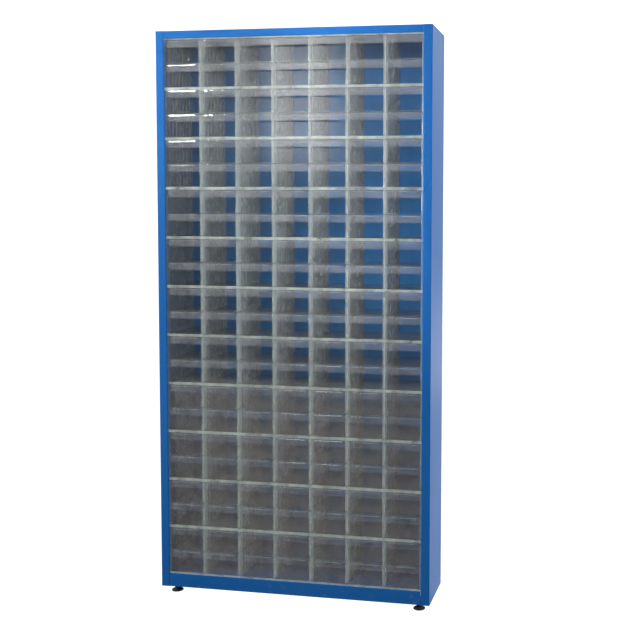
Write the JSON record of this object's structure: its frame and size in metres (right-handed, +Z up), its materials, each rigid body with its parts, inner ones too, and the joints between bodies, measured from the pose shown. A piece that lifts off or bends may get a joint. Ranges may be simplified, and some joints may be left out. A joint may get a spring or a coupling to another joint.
{
  "type": "parts bin cabinet",
  "caption": "Tall shallow blue steel cabinet on levelling feet, filled with clear stacked modules of pull-out drawers for small parts.",
  "frame": {"origin": "centre of the footprint on the floor", "axes": "+Z up, +X to the right seen from the front, the drawer fronts face -Y"},
  "size_m": [0.915, 0.205, 1.86],
  "materials": {
    "blue_steel": "satin blue powder coat on folded sheet steel",
    "zinc_steel": "zinc-plated steel",
    "black_nylon": "matt black moulded nylon",
    "sleeve_polystyrene": "clear polystyrene with a faint green-grey tint",
    "drawer_polystyrene": "clear polystyrene with a faint grey tint"
  },
  "bodies": {
    "cabinet": {"side_left": "blue_steel", "side_right": "blue_steel", "top_panel": "blue_steel", "bottom_panel": "blue_steel", "back_panel": "blue_steel", "back_rivets": "zinc_steel", "foot_gussets": "blue_steel", "foot_weld_nuts": "zinc_steel", "foot_lock_nuts": "zinc_steel", "module_sleeves": "sleeve_polystyrene"},
    "foot_front_left": {"foot_front_left": "black_nylon"},
    "foot_front_right": {"foot_front_right": "black_nylon"},
    "foot_rear_left": {"foot_rear_left": "black_nylon"},
    "foot_rear_right": {"foot_rear_right": "black_nylon"},
    "drawer_09_1": {"drawer_09_1": "drawer_polystyrene"},
    "drawer_09_2": {"drawer_09_2": "drawer_polystyrene"},
    "drawer_09_3": {"drawer_09_3": "drawer_polystyrene"},
    "drawer_09_4": {"drawer_09_4": "drawer_polystyrene"},
    "drawer_09_5": {"drawer_09_5": "drawer_polystyrene"},
    "drawer_09_6": {"drawer_09_6": "drawer_polystyrene"},
    "drawer_09_7": {"drawer_09_7": "drawer_polystyrene"},
    "drawer_10_1": {"drawer_10_1": "drawer_polystyrene"},
    "drawer_10_2": {"drawer_10_2": "drawer_polystyrene"},
    "drawer_10_3": {"drawer_10_3": "drawer_polystyrene"},
    "drawer_10_4": {"drawer_10_4": "drawer_polystyrene"},
    "drawer_10_5": {"drawer_10_5": "drawer_polystyrene"},
    "drawer_10_6": {"drawer_10_6": "drawer_polystyrene"},
    "drawer_10_7": {"drawer_10_7": "drawer_polystyrene"},
    "drawer_11_1": {"drawer_11_1": "drawer_polystyrene"},
    "drawer_11_2": {"drawer_11_2": "drawer_polystyrene"},
    "drawer_11_3": {"drawer_11_3": "drawer_polystyrene"},
    "drawer_11_4": {"drawer_11_4": "drawer_polystyrene"},
    "drawer_11_5": {"drawer_11_5": "drawer_polystyrene"},
    "drawer_11_6": {"drawer_11_6": "drawer_polystyrene"},
    "drawer_11_7": {"drawer_11_7": "drawer_polystyrene"},
    "drawer_12_1": {"drawer_12_1": "drawer_polystyrene"},
    "drawer_12_2": {"drawer_12_2": "drawer_polystyrene"},
    "drawer_12_3": {"drawer_12_3": "drawer_polystyrene"},
    "drawer_12_4": {"drawer_12_4": "drawer_polystyrene"},
    "drawer_12_5": {"drawer_12_5": "drawer_polystyrene"},
    "drawer_12_6": {"drawer_12_6": "drawer_polystyrene"},
    "drawer_12_7": {"drawer_12_7": "drawer_polystyrene"},
    "drawer_row_01": {"drawer_row_01": "drawer_polystyrene"},
    "drawer_row_02": {"drawer_row_02": "drawer_polystyrene"},
    "drawer_row_03": {"drawer_row_03": "drawer_polystyrene"},
    "drawer_row_04": {"drawer_row_04": "drawer_polystyrene"},
    "drawer_row_05": {"drawer_row_05": "drawer_polystyrene"},
    "drawer_row_06": {"drawer_row_06": "drawer_polystyrene"},
    "drawer_row_07": {"drawer_row_07": "drawer_polystyrene"},
    "drawer_row_08": {"drawer_row_08": "drawer_polystyrene"},
    "drawer_row_13": {"drawer_row_13": "drawer_polystyrene"},
    "drawer_row_14": {"drawer_row_14": "drawer_polystyrene"},
    "drawer_row_15": {"drawer_row_15": "drawer_polystyrene"},
    "drawer_row_16": {"drawer_row_16": "drawer_polystyrene"},
    "drawer_row_17": {"drawer_row_17": "drawer_polystyrene"},
    "drawer_row_18": {"drawer_row_18": "drawer_polystyrene"},
    "drawer_row_19": {"drawer_row_19": "drawer_polystyrene"},
    "drawer_row_20": {"drawer_row_20": "drawer_polystyrene"},
    "drawer_row_21": {"drawer_row_21": "drawer_polystyrene"},
    "drawer_row_22": {"drawer_row_22": "drawer_polystyrene"}
  },
  "joints": [
    {"name": "foot_front_left_turn", "type": "hinge", "parent": "cabinet", "child": "foot_front_left", "pos_m": [-0.4175, -0.0665, 0], "axis": [0, 0, 1], "continuous": true},
    {"name": "foot_front_right_turn", "type": "hinge", "parent": "cabinet", "child": "foot_front_right", "pos_m": [0.4175, -0.0665, 0], "axis": [0, 0, 1], "continuous": true},
    {"name": "foot_rear_left_turn", "type": "hinge", "parent": "cabinet", "child": "foot_rear_left", "pos_m": [-0.4175, 0.0665, 0], "axis": [0, 0, 1], "continuous": true},
    {"name": "foot_rear_right_turn", "type": "hinge", "parent": "cabinet", "child": "foot_rear_right", "pos_m": [0.4175, 0.0665, 0], "axis": [0, 0, 1], "continuous": true},
    {"name": "drawer_09_1_slide", "type": "slide", "parent": "cabinet", "child": "drawer_09_1", "axis": [0, -1, 0], "range_m": [0, 0.15]},
    {"name": "drawer_09_2_slide", "type": "slide", "parent": "cabinet", "child": "drawer_09_2", "axis": [0, -1, 0], "range_m": [0, 0.15]},
    {"name": "drawer_09_3_slide", "type": "slide", "parent": "cabinet", "child": "drawer_09_3", "axis": [0, -1, 0], "range_m": [0, 0.15]},
    {"name": "drawer_09_4_slide", "type": "slide", "parent": "cabinet", "child": "drawer_09_4", "axis": [0, -1, 0], "range_m": [0, 0.15]},
    {"name": "drawer_09_5_slide", "type": "slide", "parent": "cabinet", "child": "drawer_09_5", "axis": [0, -1, 0], "range_m": [0, 0.15]},
    {"name": "drawer_09_6_slide", "type": "slide", "parent": "cabinet", "child": "drawer_09_6", "axis": [0, -1, 0], "range_m": [0, 0.15]},
    {"name": "drawer_09_7_slide", "type": "slide", "parent": "cabinet", "child": "drawer_09_7", "axis": [0, -1, 0], "range_m": [0, 0.15]},
    {"name": "drawer_10_1_slide", "type": "slide", "parent": "cabinet", "child": "drawer_10_1", "axis": [0, -1, 0], "range_m": [0, 0.15]},
    {"name": "drawer_10_2_slide", "type": "slide", "parent": "cabinet", "child": "drawer_10_2", "axis": [0, -1, 0], "range_m": [0, 0.15]},
    {"name": "drawer_10_3_slide", "type": "slide", "parent": "cabinet", "child": "drawer_10_3", "axis": [0, -1, 0], "range_m": [0, 0.15]},
    {"name": "drawer_10_4_slide", "type": "slide", "parent": "cabinet", "child": "drawer_10_4", "axis": [0, -1, 0], "range_m": [0, 0.15]},
    {"name": "drawer_10_5_slide", "type": "slide", "parent": "cabinet", "child": "drawer_10_5", "axis": [0, -1, 0], "range_m": [0, 0.15]},
    {"name": "drawer_10_6_slide", "type": "slide", "parent": "cabinet", "child": "drawer_10_6", "axis": [0, -1, 0], "range_m": [0, 0.15]},
    {"name": "drawer_10_7_slide", "type": "slide", "parent": "cabinet", "child": "drawer_10_7", "axis": [0, -1, 0], "range_m": [0, 0.15]},
    {"name": "drawer_11_1_slide", "type": "slide", "parent": "cabinet", "child": "drawer_11_1", "axis": [0, -1, 0], "range_m": [0, 0.15]},
    {"name": "drawer_11_2_slide", "type": "slide", "parent": "cabinet", "child": "drawer_11_2", "axis": [0, -1, 0], "range_m": [0, 0.15]},
    {"name": "drawer_11_3_slide", "type": "slide", "parent": "cabinet", "child": "drawer_11_3", "axis": [0, -1, 0], "range_m": [0, 0.15]},
    {"name": "drawer_11_4_slide", "type": "slide", "parent": "cabinet", "child": "drawer_11_4", "axis": [0, -1, 0], "range_m": [0, 0.15]},
    {"name": "drawer_11_5_slide", "type": "slide", "parent": "cabinet", "child": "drawer_11_5", "axis": [0, -1, 0], "range_m": [0, 0.15]},
    {"name": "drawer_11_6_slide", "type": "slide", "parent": "cabinet", "child": "drawer_11_6", "axis": [0, -1, 0], "range_m": [0, 0.15]},
    {"name": "drawer_11_7_slide", "type": "slide", "parent": "cabinet", "child": "drawer_11_7", "axis": [0, -1, 0], "range_m": [0, 0.15]},
    {"name": "drawer_12_1_slide", "type": "slide", "parent": "cabinet", "child": "drawer_12_1", "axis": [0, -1, 0], "range_m": [0, 0.15]},
    {"name": "drawer_12_2_slide", "type": "slide", "parent": "cabinet", "child": "drawer_12_2", "axis": [0, -1, 0], "range_m": [0, 0.15]},
    {"name": "drawer_12_3_slide", "type": "slide", "parent": "cabinet", "child": "drawer_12_3", "axis": [0, -1, 0], "range_m": [0, 0.15]},
    {"name": "drawer_12_4_slide", "type": "slide", "parent": "cabinet", "child": "drawer_12_4", "axis": [0, -1, 0], "range_m": [0, 0.15]},
    {"name": "drawer_12_5_slide", "type": "slide", "parent": "cabinet", "child": "drawer_12_5", "axis": [0, -1, 0], "range_m": [0, 0.15]},
    {"name": "drawer_12_6_slide", "type": "slide", "parent": "cabinet", "child": "drawer_12_6", "axis": [0, -1, 0], "range_m": [0, 0.15]},
    {"name": "drawer_12_7_slide", "type": "slide", "parent": "cabinet", "child": "drawer_12_7", "axis": [0, -1, 0], "range_m": [0, 0.15]},
    {"name": "drawer_row_01_slide", "type": "slide", "parent": "cabinet", "child": "drawer_row_01", "axis": [0, -1, 0], "range_m": [0, 0.15]},
    {"name": "drawer_row_02_slide", "type": "slide", "parent": "cabinet", "child": "drawer_row_02", "axis": [0, -1, 0], "range_m": [0, 0.15]},
    {"name": "drawer_row_03_slide", "type": "slide", "parent": "cabinet", "child": "drawer_row_03", "axis": [0, -1, 0], "range_m": [0, 0.15]},
    {"name": "drawer_row_04_slide", "type": "slide", "parent": "cabinet", "child": "drawer_row_04", "axis": [0, -1, 0], "range_m": [0, 0.15]},
    {"name": "drawer_row_05_slide", "type": "slide", "parent": "cabinet", "child": "drawer_row_05", "axis": [0, -1, 0], "range_m": [0, 0.15]},
    {"name": "drawer_row_06_slide", "type": "slide", "parent": "cabinet", "child": "drawer_row_06", "axis": [0, -1, 0], "range_m": [0, 0.15]},
    {"name": "drawer_row_07_slide", "type": "slide", "parent": "cabinet", "child": "drawer_row_07", "axis": [0, -1, 0], "range_m": [0, 0.15]},
    {"name": "drawer_row_08_slide", "type": "slide", "parent": "cabinet", "child": "drawer_row_08", "axis": [0, -1, 0], "range_m": [0, 0.15]},
    {"name": "drawer_row_13_slide", "type": "slide", "parent": "cabinet", "child": "drawer_row_13", "axis": [0, -1, 0], "range_m": [0, 0.15]},
    {"name": "drawer_row_14_slide", "type": "slide", "parent": "cabinet", "child": "drawer_row_14", "axis": [0, -1, 0], "range_m": [0, 0.15]},
    {"name": "drawer_row_15_slide", "type": "slide", "parent": "cabinet", "child": "drawer_row_15", "axis": [0, -1, 0], "range_m": [0, 0.15]},
    {"name": "drawer_row_16_slide", "type": "slide", "parent": "cabinet", "child": "drawer_row_16", "axis": [0, -1, 0], "range_m": [0, 0.15]},
    {"name": "drawer_row_17_slide", "type": "slide", "parent": "cabinet", "child": "drawer_row_17", "axis": [0, -1, 0], "range_m": [0, 0.15]},
    {"name": "drawer_row_18_slide", "type": "slide", "parent": "cabinet", "child": "drawer_row_18", "axis": [0, -1, 0], "range_m": [0, 0.15]},
    {"name": "drawer_row_19_slide", "type": "slide", "parent": "cabinet", "child": "drawer_row_19", "axis": [0, -1, 0], "range_m": [0, 0.15]},
    {"name": "drawer_row_20_slide", "type": "slide", "parent": "cabinet", "child": "drawer_row_20", "axis": [0, -1, 0], "range_m": [0, 0.15]},
    {"name": "drawer_row_21_slide", "type": "slide", "parent": "cabinet", "child": "drawer_row_21", "axis": [0, -1, 0], "range_m": [0, 0.15]},
    {"name": "drawer_row_22_slide", "type": "slide", "parent": "cabinet", "child": "drawer_row_22", "axis": [0, -1, 0], "range_m": [0, 0.15]}
  ]
}
